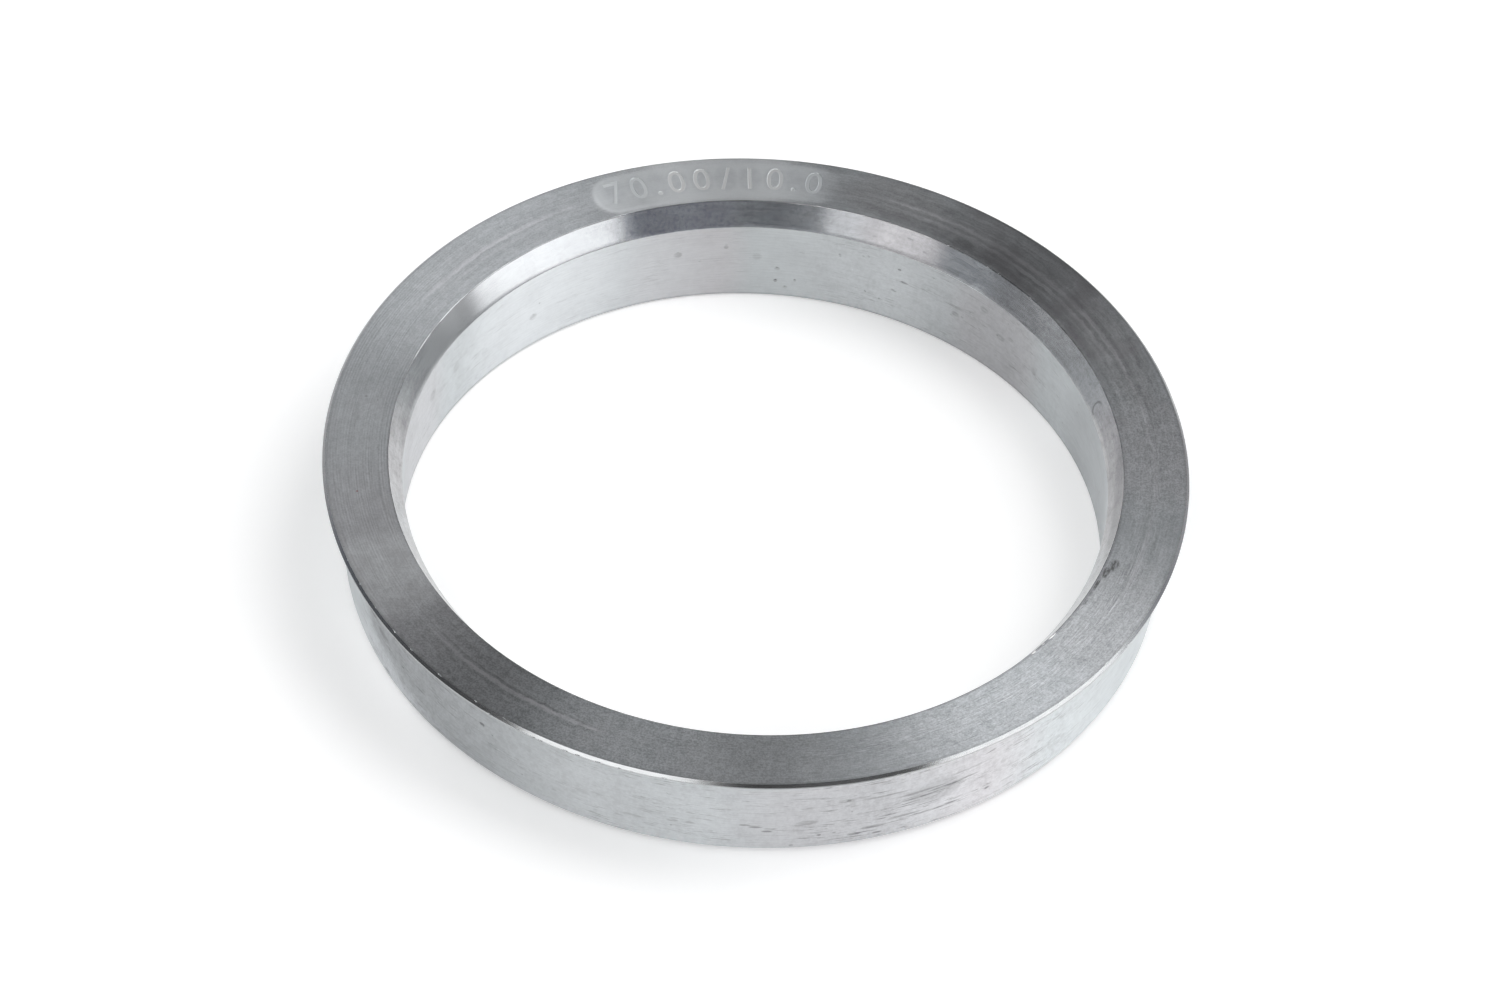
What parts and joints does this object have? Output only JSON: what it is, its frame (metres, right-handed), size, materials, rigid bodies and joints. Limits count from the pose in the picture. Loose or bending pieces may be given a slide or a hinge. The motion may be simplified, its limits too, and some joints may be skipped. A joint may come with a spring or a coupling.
{
  "type": "hub centric ring",
  "caption": "Turned aluminium ring with a short flange and a conical seat, which centres a wheel with a large centre bore on a smaller hub.",
  "frame": {"origin": "on the ring's axis, in the plane of the spigot end that it stands on", "axes": "+Z along the ring's axis, from the spigot end to the flange face; X and Y lie in the spigot end"},
  "size_m": [0.07, 0.07, 0.01],
  "materials": {
    "turned_aluminium": "bare turned metal, fine concentric tool lines on the face, brighter rim and mouth, light scratches and pits"
  },
  "bodies": {
    "root": {"hub_ring": "turned_aluminium"}
  },
  "joints": []
}
